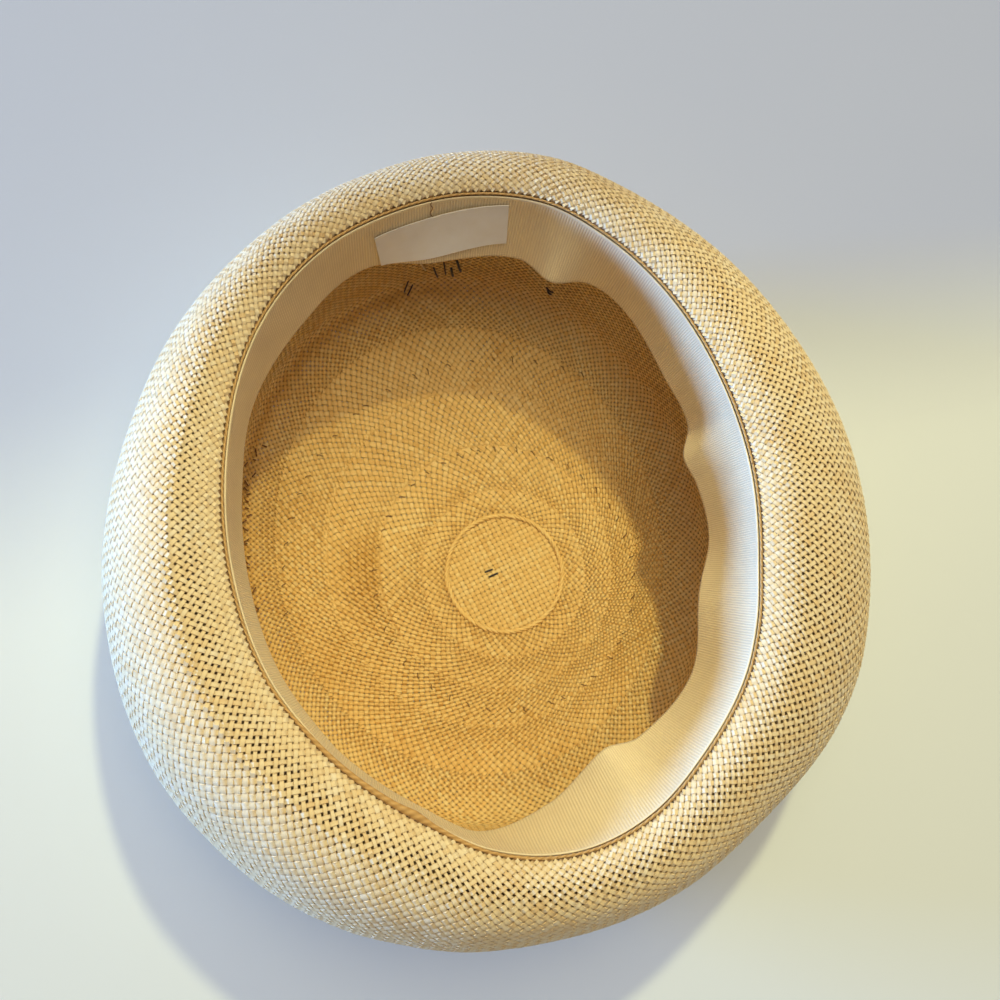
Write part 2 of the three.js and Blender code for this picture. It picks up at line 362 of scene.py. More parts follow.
class Cloth:
    """Vertices, faces and fibre marks of many small closed forms, gathered into one mesh."""

    def __init__(self):
        self.places, self.quads, self.tones, self.fibres = [], [], [], []
        self.count = 0

    def add(self, places, quads, tones, fibres):
        self.places.append(places.reshape(-1, 3))
        self.quads.append(quads.reshape(-1, 4) + self.count)
        self.tones.append(tones.ravel())
        self.fibres.append(fibres.reshape(-1, 3))
        self.count += len(self.places[-1])

    def mesh(self, name, crisp):
        places = (np.concatenate(self.places) + AXIS) * MM
        quads = np.concatenate(self.quads)
        mesh = bpy.data.meshes.new(name)
        mesh.vertices.add(len(places))
        mesh.vertices.foreach_set("co", places.astype(np.float32).ravel())
        mesh.loops.add(quads.size)
        mesh.loops.foreach_set("vertex_index", quads.astype(np.int32).ravel())
        mesh.polygons.add(len(quads))
        mesh.polygons.foreach_set("loop_start", np.arange(0, quads.size, 4, dtype=np.int32))
        mesh.update(calc_edges=True)
        tone = mesh.attributes.new("tone", "FLOAT", "POINT")
        tone.data.foreach_set("value", np.concatenate(self.tones).astype(np.float32))
        fibre = mesh.attributes.new("fibre", "FLOAT_VECTOR", "POINT")
        fibre.data.foreach_set("vector", np.concatenate(self.fibres).astype(np.float32).ravel())
        mesh.shade_smooth()
        if crisp:
            mesh.set_sharp_from_angle(angle=EDGE_ANGLE)
        return mesh


def swept_quads(runs, rings, corners, closed=False):
    """Quads of many swept sections of the same count of rings, with a cap at each open end."""
    first = np.arange(runs)[:, None, None] * rings * corners
    here = np.arange(rings if closed else rings - 1)[None, :, None]
    q = np.arange(corners)[None, None, :]
    there = (here + 1) % rings
    after = (q + 1) % corners
    quads = np.stack(
        np.broadcast_arrays(
            first + here * corners + q,
            first + here * corners + after,
            first + there * corners + after,
            first + there * corners + q,
        ),
        axis=-1,
    ).reshape(-1, 4)
    if closed:
        return quads
    begin = first[:, 0, 0][:, None]
    fan = [(0, k, k + 1, k + 2) for k in range(1, corners - 2, 2)]
    caps = []
    for corner in fan:
        caps.append(begin + np.array(corner[::-1]))
        caps.append(begin + (rings - 1) * corners + np.array(corner))
    return np.concatenate([quads, *caps])


def lay_strands(cloth, points, normals, side, fill, straw, seed, varied, base=None):
    """Lays one set of slanting strands of a plain weave over a closed grid of crossings.

    fill is the share of its room that a strand takes, base its tone, and varied how much the tone differs.
    """
    steps, levels = points.shape[:2]
    strands = steps // 2
    rng = np.random.default_rng(seed)
    k, j = np.arange(strands)[:, None], np.arange(levels)[None, :]
    i = (2 * k + side * j) % steps
    centre, normal = points[i, j], normals[i, j]
    ahead = unit(np.gradient(centre, axis=1))
    across = unit(np.cross(normal, ahead))
    beside = points[(i + 2) % steps, j] - centre
    spacing = np.abs(np.sum(beside * across, axis=-1))
    over = side * (1 - 2 * (j % 2))
    uneven = rng.normal(1, 0.045, (strands, 1)) + rng.normal(0, 0.03, (strands, levels))
    half = spacing * fill[i, j] / 2 * uneven
    stray = rng.normal(0, straw.stray / MM, (strands, levels))
    lift = straw.lift / MM * (over + rng.normal(0, 0.12, (strands, levels)))
    middle = centre + across * stray[..., None] + normal * lift[..., None]
    thick = straw.thickness / MM
    rings = np.stack(
        [middle + across * (half * w)[..., None] + normal * (thick * h) for w, h in STRAND_SECTION], axis=2
    )
    tone = MIDDLE_TONE if base is None else base[i, j]
    tone = tone + rng.normal(0, varied, (strands, 1)) + rng.normal(0, 0.05, (strands, levels))
    tone = np.clip(tone, 0, 1)
    along = j + (0 if side > 0 else 1) + 0 * k
    name = seed * 1000 + k + 0 * j
    fibres = np.stack(
        [np.stack([0 * along + w, along, name], axis=-1) for w, _ in STRAND_SECTION], axis=2
    ).astype(float)
    cloth.add(rings, swept_quads(strands, levels, 4), np.repeat(tone[..., None], 4, axis=2), fibres)


def add_tube(cloth, path, radius, up, sides=6, closed=False, tone=MIDDLE_TONE, flat=1.0):
    """Adds a thread along a path. up gives the normal it lies on, and flat presses it towards that."""
    path = np.asarray(path, float)
    if closed:
        ahead = unit(np.roll(path, -1, axis=0) - np.roll(path, 1, axis=0))
    else:
        ahead = unit(np.gradient(path, axis=0))
    across = unit(np.cross(np.broadcast_to(up, path.shape), ahead))
    above = np.cross(ahead, across)
    radius = np.broadcast_to(radius, len(path))
    angles = -np.arange(sides) * 2 * math.pi / sides
    rings = np.stack(
        [
            path + (across * math.cos(a) - above * (math.sin(a) * flat)) * radius[:, None]
            for a in angles
        ],
        axis=1,
    )
    run = np.concatenate([[0], np.cumsum(np.linalg.norm(np.diff(path, axis=0), axis=-1))])
    fibres = np.stack(
        [
            np.stack([np.full(len(path), q / sides), run, np.full(len(path), cloth.count)], axis=-1)
            for q in range(sides)
        ],
        axis=1,
    )
    cloth.add(rings, swept_quads(1, len(path), sides, closed), np.full(rings.shape[:2], tone), fibres)


def show(name, cloth, material, slot, *replaced, crisp=False):
    """Puts gathered forms in the scene as a piece of the hat."""
    piece = bpy.data.objects.new(name, cloth.mesh(name, crisp))
    bpy.context.scene.collection.objects.link(piece)
    piece.data.materials.append(material)
    dress(piece, slot, *replaced)
    return piece


def dress(piece, slot, *replaced):
    """Ties a piece to its body and hides the solids that it stands for; slot is not used."""
    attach(piece, "root")
    if replaced:
        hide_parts(*replaced)


def feed(tree, socket, value):
    """Links an input to an output, or sets it to a value."""
    if hasattr(value, "is_output"):
        tree.links.new(value, socket)
    else:
        socket.default_value = value


def put(tree, kind, x, y, **inputs):
    """Adds a node and sets its inputs, which are named with _ for spaces or by their index."""
    node = tree.nodes.new(kind)
    node.location = (x, y)
    for name, value in inputs.items():
        key = int(name[1:]) if name[0] == "i" and name[1:].isdigit() else name.replace("_", " ")
        feed(tree, node.inputs[key], value)
    return node


def sum_up(tree, operation, x, y, first, second=0.0, third=0.0, clamp=False):
    """A math node's result."""
    node = put(tree, "ShaderNodeMath", x, y, i0=first, i1=second, i2=third)
    node.operation = operation
    node.use_clamp = clamp
    return node.outputs[0]


def blend(tree, x, y, share, first, second):
    """A mix of two colours."""
    node = put(tree, "ShaderNodeMix", x, y)
    node.data_type = "RGBA"
    for key, value in ((0, share), (6, first), (7, second)):
        feed(tree, node.inputs[key], value)
    return node.outputs[2]


def mark(tree, name, x, y):
    """A value that the mesh carries at its points."""
    node = tree.nodes.new("ShaderNodeAttribute")
    node.attribute_name = name
    node.location = (x, y)
    return node


def group(name, inputs, outputs):
    """A shader node group with its sockets, and its input and output nodes."""
    tree = bpy.data.node_groups.new(name, "ShaderNodeTree")
    for title, kind, default in inputs:
        socket = tree.interface.new_socket(title, in_out="INPUT", socket_type=kind)
        socket.default_value = default
    for title, kind in outputs:
        tree.interface.new_socket(title, in_out="OUTPUT", socket_type=kind)
    source = tree.nodes.new("NodeGroupInput")
    source.location = (-1200, 0)
    target = tree.nodes.new("NodeGroupOutput")
    target.location = (800, 0)
    return tree, source, target


def straw_group():
    """Colour, roughness and height of a straw strand: tone by strand, streaks along it, and painted shade
    with dirt at its edges and where it dips under another.
    """
    found = bpy.data.node_groups.get("Straw fibre")
    if found:
        return found
    tree, source, target = group(
        "Straw fibre",
        (
            ("Pale", "NodeSocketColor", (0.9, 0.85, 0.7, 1)),
            ("Straw", "NodeSocketColor", (0.8, 0.7, 0.5, 1)),
            ("Deep", "NodeSocketColor", (0.6, 0.45, 0.28, 1)),
            ("Joint shade", "NodeSocketColor", (0.25, 0.15, 0.07, 1)),
            ("Arch", "NodeSocketFloat", 0.0003),
            ("Edge", "NodeSocketFloat", 4.0),
        ),
        (("Color", "NodeSocketColor"), ("Roughness", "NodeSocketFloat"), ("Height", "NodeSocketFloat")),
    )
    tone = mark(tree, "tone", -1000, 400).outputs["Fac"]
    fibre = mark(tree, "fibre", -1000, -200).outputs["Vector"]
    parts = put(tree, "ShaderNodeSeparateXYZ", -800, -400, Vector=fibre)
    stretch = put(tree, "ShaderNodeVectorMath", -800, -100, i0=fibre, i1=(2.4, 0.55, 7.3))
    stretch.operation = "MULTIPLY"
    streak = put(tree, "ShaderNodeTexNoise", -600, -100, Vector=stretch.outputs[0], Scale=1.0, Detail=3.0)
    streak = streak.outputs["Fac"]
    place = put(tree, "ShaderNodeTexCoord", -1000, 100).outputs["Object"]
    cloud = put(tree, "ShaderNodeTexNoise", -800, 150, Vector=place, Scale=38.0, Detail=3.0).outputs["Fac"]
    swing = sum_up(tree, "MULTIPLY_ADD", -600, 250, cloud, 0.4, -0.2)
    shade = sum_up(tree, "ADD", -450, 350, tone, swing)
    wave = sum_up(tree, "MULTIPLY_ADD", -450, 120, streak, 0.6, -0.3)
    shade = sum_up(tree, "ADD", -300, 300, shade, wave)
    low = sum_up(tree, "MULTIPLY", -150, 350, shade, 2.0, clamp=True)
    high = sum_up(tree, "MULTIPLY_ADD", -150, 200, shade, 2.0, -1.0, clamp=True)
    colour = blend(tree, 50, 350, low, source.outputs["Deep"], source.outputs["Straw"])
    colour = blend(tree, 250, 300, high, colour, source.outputs["Pale"])
    arch = sum_up(tree, "MULTIPLY", -450, -250, parts.outputs["Y"], math.pi)
    arch = sum_up(tree, "COSINE", -300, -250, arch)
    # painted shade and dirt: a strand's sides and the ends of each cell, where it dips under another, darken
    # towards the joint tint
    edge = sum_up(tree, "ABSOLUTE", -600, -400, parts.outputs["X"])
    edge = sum_up(tree, "POWER", -450, -400, edge, source.outputs["Edge"])
    between = sum_up(tree, "ABSOLUTE", -450, -550, arch)
    between = sum_up(tree, "MULTIPLY_ADD", -300, -550, between, -0.8, 1.0)
    edge = sum_up(tree, "MULTIPLY", -150, -500, edge, between)
    dip = sum_up(tree, "MULTIPLY_ADD", -100, -400, arch, -0.55, 0.12, clamp=True)
    joint_shade = sum_up(tree, "MAXIMUM", 250, -400, edge, dip)
    colour = blend(tree, 450, 250, joint_shade, colour, source.outputs["Joint shade"])
    tree.links.new(colour, target.inputs["Color"])
    rough = sum_up(tree, "MULTIPLY_ADD", 250, 0, streak, 0.3, 0.48)
    tree.links.new(rough, target.inputs["Roughness"])
    arch = sum_up(tree, "MULTIPLY", -100, -250, arch, source.outputs["Arch"])
    ridge = sum_up(tree, "MULTIPLY", -100, -100, streak, STREAK_HEIGHT * MM)
    tree.links.new(sum_up(tree, "ADD", 100, -200, arch, ridge), target.inputs["Height"])
    return tree


def cloth_group():
    """Soiling and fine grain of a woven ribbon or tag, from its own place in the hat."""
    found = bpy.data.node_groups.get("Cloth age")
    if found:
        return found
    tree, source, target = group(
        "Cloth age",
        (
            ("Clean", "NodeSocketColor", (0.9, 0.87, 0.8, 1)),
            ("Soiled", "NodeSocketColor", (0.7, 0.58, 0.42, 1)),
            ("Amount", "NodeSocketFloat", 0.4),
        ),
        (("Color", "NodeSocketColor"), ("Grain", "NodeSocketFloat")),
    )
    place = put(tree, "ShaderNodeTexCoord", -1000, 100).outputs["Object"]
    cloud = put(tree, "ShaderNodeTexNoise", -800, 200, Vector=place, Scale=45.0, Detail=5.0, Roughness=0.6)
    grain = put(tree, "ShaderNodeTexNoise", -800, -100, Vector=place, Scale=2600.0, Detail=2.0).outputs["Fac"]
    cloud = cloud.outputs["Fac"]
    spread = put(tree, "ShaderNodeMapRange", -600, 200, Value=cloud, From_Min=0.42, From_Max=0.75)
    soil = sum_up(tree, "MULTIPLY", -400, 200, spread.outputs[0], source.outputs["Amount"], clamp=True)
    colour = blend(tree, -200, 200, soil, source.outputs["Clean"], source.outputs["Soiled"])
    tree.links.new(colour, target.inputs["Color"])
    tree.links.new(grain, target.inputs["Grain"])
    return tree


def finish(name, roughness=0.6, sheen=0.0):
    """A new material with its Principled shader."""
    material = bpy.data.materials.new(name)
    material.use_nodes = True
    shader = material.node_tree.nodes["Principled BSDF"]
    shader.inputs["Roughness"].default_value = roughness
    shader.inputs["Sheen Weight"].default_value = sheen
    return material, material.node_tree, shader


def place_group(tree, made, **values):
    """Places a node group in a material with its own values."""
    node = put(tree, "ShaderNodeGroup", -500, 200)
    node.node_tree = made
    for title, value in values.items():
        node.inputs[title].default_value = value
    return node


def raise_up(tree, shader, x, y, height):
    """Lets a height in metres tilt the shader's normal."""
    bump = put(tree, "ShaderNodeBump", x, y, Height=height, Strength=1.0, Distance=1.0)
    tree.links.new(bump.outputs[0], shader.inputs["Normal"])


def straw_finish(name, pale, straw, deep, joint_shade, arch, edge):
    """Straw strands: four tints, the last one painted shade and dirt at the joints, the height of a strand's
    arch and how late its sides darken.
    """
    material, tree, shader = finish(name)
    shader.inputs["Specular IOR Level"].default_value = 0.25
    tints = {"Pale": (*pale, 1), "Straw": (*straw, 1), "Deep": (*deep, 1), "Joint shade": (*joint_shade, 1)}
    fibre = place_group(tree, straw_group(), Arch=arch, Edge=edge, **tints)
    tree.links.new(fibre.outputs["Color"], shader.inputs["Base Color"])
    tree.links.new(fibre.outputs["Roughness"], shader.inputs["Roughness"])
    raise_up(tree, shader, -250, -100, fibre.outputs["Height"])
    return material


def thread_finish(name, light, dark, pitch, roughness=0.6):
    """A twisted thread: slanting plies along its own fibre marks, one in each pitch."""
    material, tree, shader = finish(name, roughness, 0.2)
    fibre = mark(tree, "fibre", -1000, 0).outputs["Vector"]
    parts = put(tree, "ShaderNodeSeparateXYZ", -800, 0, Vector=fibre)
    run = sum_up(tree, "MULTIPLY", -650, -100, parts.outputs["Y"], 1 / pitch)
    turn = sum_up(tree, "MULTIPLY", -650, 100, parts.outputs["X"], 2.0)
    ply = sum_up(tree, "MULTIPLY", -400, 0, sum_up(tree, "ADD", -500, 0, run, turn), 2 * math.pi)
    ply = sum_up(tree, "SINE", -300, 0, ply)
    share = sum_up(tree, "MULTIPLY_ADD", -200, 100, ply, 0.5, 0.5)
    colour = blend(tree, -50, 200, share, (*dark, 1), (*light, 1))
    tree.links.new(colour, shader.inputs["Base Color"])
    raise_up(tree, shader, -50, -150, sum_up(tree, "MULTIPLY", -200, -150, ply, PLY_HEIGHT * MM))
    return material


def cloth_finish(name, clean, soiled, amount, grain, roughness, sheen):
    """Soft cloth: its clean and soiled tints, how much is soiled and the height of its grain."""
    material, tree, shader = finish(name, roughness, sheen)
    age = place_group(tree, cloth_group(), Clean=(*clean, 1), Soiled=(*soiled, 1), Amount=amount)
    tree.links.new(age.outputs["Color"], shader.inputs["Base Color"])
    raise_up(tree, shader, -150, -100, sum_up(tree, "MULTIPLY", -300, -100, age.outputs["Grain"], grain * MM))
    return material


def ribbon_finish(trim):
    """The ribbed ribbon: cloth with painted shade and dirt in the valleys between its ribs, and a plain
    selvedge.
    """
    woven = {"amount": 0.35, "grain": 0.04, "roughness": 0.5, "sheen": 0.25}
    material = cloth_finish("Ribbed ribbon", trim.ivory, trim.soil, **woven)
    tree = material.node_tree
    shader = tree.nodes["Principled BSDF"]
    cloth = shader.inputs["Base Color"].links[0].from_socket
    fibre = mark(tree, "fibre", -1100, 500).outputs["Vector"]
    parts = put(tree, "ShaderNodeSeparateXYZ", -900, 500, Vector=fibre)
    # painted shade and dirt in the valleys between the ribs
    wave = sum_up(tree, "MULTIPLY_ADD", -700, 500, parts.outputs["Y"], 2 * math.pi, RIB_PHASE)
    wave = sum_up(tree, "COSINE", -550, 500, wave)
    valley_shade = sum_up(tree, "MULTIPLY_ADD", -400, 500, wave, -0.5, 0.25, clamp=True)
    body = sum_up(tree, "GREATER_THAN", -550, 650, parts.outputs["X"], RIBBON_SELVEDGE)
    valley_shade = sum_up(tree, "MULTIPLY", -250, 550, valley_shade, body)
    colour = blend(tree, -100, 350, valley_shade, cloth, (*trim.valley_shade, 1))
    tree.links.new(colour, shader.inputs["Base Color"])
    return material


def tint(title, about, colour):
    return FloatVectorProperty(
        name=title, description=about, subtype="COLOR", size=3, min=0, max=1, default=colour
    )


def length(title, about, millimetres):
    return FloatProperty(
        name=title, description=about, default=millimetres * MM, subtype="DISTANCE", unit="LENGTH"
    )


class HatStraw(bpy.types.PropertyGroup):
    """The straw of the crown and the brim"""

    strands: IntProperty(
        name="Strands", description="Strands of each slant round the hat", default=240, min=24
    )
    thickness: length("Thickness", "Thickness of a strand", 0.36)
    lift: length("Lift", "How far a strand rises over the one that it crosses", 0.27)
    stray: length("Stray", "How far a strand wanders from its place", 0.05)
    brim_pale: tint("Brim, pale", "Palest strands of the brim", (0.95, 0.85, 0.66))
    brim_straw: tint("Brim, straw", "Middle tone of the brim", (0.93, 0.76, 0.48))
    brim_deep: tint("Brim, deep", "Darkest strands of the brim", (0.82, 0.58, 0.29))
    # The joint tint is painted shade and dirt where strands of the brim dip under each other.
    brim_joint_shade: tint("Brim, joint shade", "Where strands of the brim dip under each other", (0.3, 0.17, 0.08))
    # The crown's tints are deeper gold than the brim's: partly the inside's own deeper yellow, partly painted
    # warm light and its bounce inside the hat.
    crown_pale: tint("Crown, pale", "Palest strands of the crown", (0.95, 0.75, 0.38))
    crown_straw: tint("Crown, straw", "Middle tone of the crown", (0.89, 0.6, 0.23))
    crown_deep: tint("Crown, deep", "Darkest strands of the crown", (0.72, 0.42, 0.12))
    # The joint tint is painted shade and dirt where strands of the crown dip under each other.
    crown_joint_shade: tint("Crown, joint shade", "Where strands of the crown dip under each other", (0.22, 0.09, 0.02))


class HatTrim(bpy.types.PropertyGroup):
    """The sweatband, the label and the threads"""

    rib: length("Rib", "Distance between the ribs of the ribbon", 0.85)
    rib_height: length("Rib height", "Height of a rib over the ribbon", 0.3)
    ribbon_thickness: length("Ribbon", "Thickness of the ribbon", 0.5)
    label_thickness: length("Label", "Thickness of the label", 0.3)
    ivory: tint("Ivory", "The clean ribbon", (0.95, 0.8, 0.54))
    # The valley tint is painted shade and dirt between the ribs.
    valley_shade: tint("Valley shade", "Between the ribs of the ribbon", (0.72, 0.57, 0.36))
    paper: tint("Paper", "The clean label", (0.93, 0.93, 0.95))
    soil: tint("Soil", "Soiled cloth", (0.6, 0.46, 0.28))


class HAT_OT_stage(bpy.types.Operator):
    """Lays the pale table and sets the lights and the camera"""

    bl_idname = "hat.stage"
    bl_label = "Table, lights and camera"

    def execute(self, context):
        bpy.ops.object.select_all(action="DESELECT")
        bpy.ops.mesh.primitive_plane_add(size=8)
        table = context.object
        table.name = "table"
        material, tree, shader = finish("Pale table", 0.5)
        place = put(tree, "ShaderNodeTexCoord", -900, 0).outputs["Object"]
        cloud = put(tree, "ShaderNodeTexNoise", -700, 0, Vector=place, Scale=9.0, Detail=3.0).outputs["Fac"]
        colour = blend(tree, -400, 100, cloud, (0.77, 0.84, 0.93, 1), (0.8, 0.87, 0.95, 1))
        tree.links.new(colour, shader.inputs["Base Color"])
        table.data.materials.append(material)
        self.lights(context)
        self.camera(context)
        return {"FINISHED"}

    def lights(self, context):
        """A soft room that is brighter at the back, a ceiling, a low window and a lamp for the front."""
        world = bpy.data.worlds.new("Soft room")
        world.use_nodes = True
        tree = world.node_tree
        sky = tree.nodes["Background"]
        sky.inputs["Color"].default_value = (0.92, 0.84, 0.9, 1)
        way = put(tree, "ShaderNodeTexCoord", -800, 0).outputs["Generated"]
        depth = put(tree, "ShaderNodeSeparateXYZ", -600, 0, Vector=way).outputs["Y"]
        limits = {"From_Min": -0.75, "From_Max": 0.6, "To_Min": 0.12, "To_Max": 0.32}
        fall = put(tree, "ShaderNodeMapRange", -400, 0, Value=depth, **limits)
        tree.links.new(fall.outputs[0], sky.inputs["Strength"])
        context.scene.world = world
        context.scene.view_settings.view_transform = "Standard"
        middle = Vector((0, 0, 0.05))
        self.lamp(
            "soft_ceiling",
            middle,
            towards=(0.05, 0.15, 1.0),
            distance=1.6,
            size=(1.2, 1.2),
            colour=(1.0, 0.87, 0.52),
            power=11.0,
        )
        self.lamp(
            "cool_window",
            middle,
            towards=(-0.95, 0.28, 0.1),
            distance=2.8,
            size=(0.79, 0.21),
            colour=(0.25, 0.5, 1.0),
            power=130.0,
        )
        self.beam(
            "warm_beam",
            place=(0.27, 0.724, 1.178),
            aim=(0.27, -0.246, 1.42),
            half_angle=75.0,
            colour=(1.0, 0.93, 0.42),
            power=34.0,
        )

    def beam(self, name, place, aim, half_angle, colour, power):
        """A lamp whose light ends at the edge of its cone."""
        light = bpy.data.lights.new(name, "SPOT")
        light.spot_size = math.radians(2 * half_angle)
        light.spot_blend = 0.02
        light.shadow_soft_size = 0.04
        self.hang(light, Vector(place), Vector(place) - Vector(aim), colour, power)

    def lamp(self, name, aim, towards, distance, size, colour, power):
        """A soft lamp at a distance from what it lights."""
        light = bpy.data.lights.new(name, "AREA")
        light.shape = "RECTANGLE"
        light.size, light.size_y = size
        way = Vector(towards).normalized()
        self.hang(light, aim + way * distance, way, colour, power)

    def hang(self, light, place, back, colour, power):
        light.color = colour
        light.energy = power
        lamp = bpy.data.objects.new(light.name, light)
        lamp.location = place
        lamp.rotation_euler = back.to_track_quat("Z", "Y").to_euler()
        bpy.context.scene.collection.objects.link(lamp)

    def camera(self, context):
        made = bpy.data.cameras.new("Camera")
        made.sensor_fit = "HORIZONTAL"
        made.sensor_width = CAMERA_FILM
        made.lens = CAMERA_LENS
        made.clip_start = 0.01
        eye = bpy.data.objects.new("Camera", made)
        place = Vector(CAMERA_AT) * MM
        back = (place - Vector(CAMERA_AIM) * MM).normalized()
        right = Vector(CAMERA_UP).cross(back).normalized()
        up = back.cross(right)
        eye.matrix_world = Matrix.Translation(place) @ Matrix((right, up, back)).transposed().to_4x4()
        context.scene.collection.objects.link(eye)
        context.scene.camera = eye


class HAT_OT_crown(bpy.types.Operator):
    """Weaves the side wall of the crown, over the corner and up to the seam"""

    bl_idname = "hat.crown"
    bl_label = "Crown wall"

    def execute(self, context):
        straw = context.scene.hat_straw
        material = crown_material(straw, "Inner wall straw", edge=2.2)
        bearings, points, normals = weave_grid(side_paths, straw.strands)
        up = np.clip((points[..., 2] - TIP_CORNER / 2) / TIP_CORNER, 0, 1)
        fill = WALL_FILL - WALL_OPENING * up
        # painted shade along the groove of the corner on the left: the straw's tone is lowered there
        near = np.clip(2.2 * np.cos(bearings - CREASE_AT) - 0.6, 0, 1)
        crease_shade = np.exp(-(((points[..., 2] - CREASE_HEIGHT) / CREASE_HALF) ** 2))
        base = WALL_TONE - CREASE_SHADE_DEPTH * near[:, None] * crease_shade
        for side, name in ((1, "crown_strands_left"), (-1, "crown_strands_right")):
            cloth = Cloth()
            lay_strands(cloth, points, normals, side, fill, straw, 11 + side, varied=0.1, base=base)
            show(name, cloth, material, "crown_straw", "crown", crisp=True)
        return {"FINISHED"}


def crown_material(straw, name, edge):
    """The straw inside the hat, its deeper gold partly painted warm light."""
    tints = straw.crown_pale, straw.crown_straw, straw.crown_deep, straw.crown_joint_shade
    return straw_finish(name, *tints, arch=straw.lift, edge=edge)


class HAT_OT_tip(bpy.types.Operator):
    """Weaves the tip: the first square, the ring round it and the widening zones of strands"""

    bl_idname = "hat.tip"
    bl_label = "Tip"

    def execute(self, context):
        straw = context.scene.hat_straw
        material = crown_material(straw, "Inner tip straw", edge=4.0)
        cloth = Cloth()
        for number, (inner, outer, strands) in enumerate(TIP_ZONES):
            bearings = np.arange(2 * strands) * math.pi / strands
            levels = round(math.log(outer / inner) * strands / math.pi)
            radii = inner * (outer / inner) ** (np.arange(-1, levels + 1) / levels)
            points = tip_points(bearings[:, None], radii[None, :])
            normals = np.broadcast_to(UP, points.shape)
            fill = np.full(points.shape[:2], TIP_FILL)
            # painted shade in the dent: the straw's tone is lowered where its side turns from the light
            base = MIDDLE_TONE - DENT_SHADE_DEPTH * dent_painted_shade(points[..., 0], points[..., 1])
            for side in (1, -1):
                seed = 40 + 2 * number + side
                lay_strands(cloth, points, normals, side, fill, straw, seed, varied=0.1, base=base)
        self.square(cloth, straw)
        show("tip_weave", cloth, material, "crown_straw", "crown", crisp=True)
        ring = Cloth()
        self.ring(ring)
        show("tip_ring", ring, material, "crown_straw", "crown")
        return {"FINISHED"}

    def square(self, cloth, straw):
        """The first strands of the weave, laid square and cut off under the ring."""
        rng = np.random.default_rng(5)
        pitch = SQUARE_PITCH
        reach = TIP_RING + 0.4
        thick = straw.thickness / MM
        rows = np.arange(-int(reach / pitch), int(reach / pitch) + 1)
        cos, sin = math.cos(SQUARE_TURN), math.sin(SQUARE_TURN)
        for way in (0, 1):
            for row in rows:
                span = math.sqrt(max(reach**2 - (row * pitch) ** 2, 0))
                cells = np.arange(-int(span / pitch) - 1, int(span / pitch) + 2)
                run = np.clip(cells * pitch, -span, span)
                side = np.full(len(run), row * pitch) + rng.normal(0, 0.06, len(run))
                u, v = (run, side) if way == 0 else (-side, run)
                x = u * cos - v * sin + WEAVE_START[0]
                y = u * sin + v * cos + WEAVE_START[1]
                along = cells + row + way
                over = (1 - 2 * (along % 2)) * straw.lift / MM
                centre = np.stack([x, y, STRAW / 2 + over], axis=-1)
                ahead = unit(np.gradient(centre, axis=0) * (1, 1, 0))
                across = np.cross(UP, ahead)
                half = pitch * SQUARE_FILL / 2 * rng.normal(1, 0.05)
                rings = np.stack(
                    [centre + across * (half * w) + np.array((0, 0, thick * h)) for w, h in STRAND_SECTION],
                    axis=1,
                )
                name = 0 * cells + 900 + 40 * way + row
                fibres = np.stack(
                    [np.stack([0.0 * cells + w, along, name], axis=-1) for w, _ in STRAND_SECTION], axis=1
                )
                tone = np.full(rings.shape[:2], np.clip(rng.normal(MIDDLE_TONE, 0.1), 0, 1))
                cloth.add(rings, swept_quads(1, len(cells), 4), tone, fibres)

    def ring(self, cloth):
        """The twined row round the first square: short strands that slant over each other."""
        rng = np.random.default_rng(6)
        t = np.linspace(-0.5, 0.5, 6)
        for k in range(RING_STRANDS):
            start = 2 * math.pi * k / RING_STRANDS
            bearing = start + t * 2 * math.pi / RING_STRANDS * 2.1
            radius = TIP_RING + 1.3 * t + rng.normal(0, 0.08)
            height = STRAW / 2 + 0.38 + 0.42 * np.cos(t * math.pi * 0.9)
            path = turned(bearing, radius, height) + (*WEAVE_START, 0)
            add_tube(cloth, path, RING_RADIUS, UP, tone=rng.uniform(0.35, 0.6), flat=0.4)
            cloth.fibres[-1][:, 1] = 0  # no dip along it, since it lies on top


class HAT_OT_brim(bpy.types.Operator):
    """Weaves the rolled brim from the seam over the crest to its tucked edge"""

    bl_idname = "hat.brim"
    bl_label = "Brim"

    def execute(self, context):
        straw = context.scene.hat_straw
        tints = straw.brim_pale, straw.brim_straw, straw.brim_deep, straw.brim_joint_shade
        material = straw_finish("Brim straw", *tints, arch=0.75 * straw.lift, edge=4.0)
        bearings, points, normals = weave_grid(brim_paths, straw.strands)
        fill = self.fill(bearings, np.arange(points.shape[1]))
        for side, name in ((1, "brim_strands_left"), (-1, "brim_strands_right")):
            cloth = Cloth()
            lay_strands(cloth, points, normals, side, fill, straw, 21 + side, varied=0.13)
            show(name, cloth, material, "brim_straw", "brim", crisp=True)
        return {"FINISHED"}

    def fill(self, bearings, level):
        """How full the weave is: closed at the seam, outside on the left and underneath, open elsewhere."""
        share = level / len(level)
        opening = np.clip((level - 1) / 7.0, 0, 1)
        outer = np.clip((share - 0.1) / 0.12, 0, 1)
        left = np.clip(0.4 - 1.6 * np.cos(bearings - math.radians(20)), 0, 1)
        under = np.clip((share - 0.5) / 0.08, 0, 1)
        closed = np.maximum(outer[None, :] * left[:, None], under[None, :])
        loose = 0.8 - 0.2 * np.sin(bearings)
        return BRIM_FILL - BRIM_OPENING * opening[None, :] * loose[:, None] * (1 - closed)


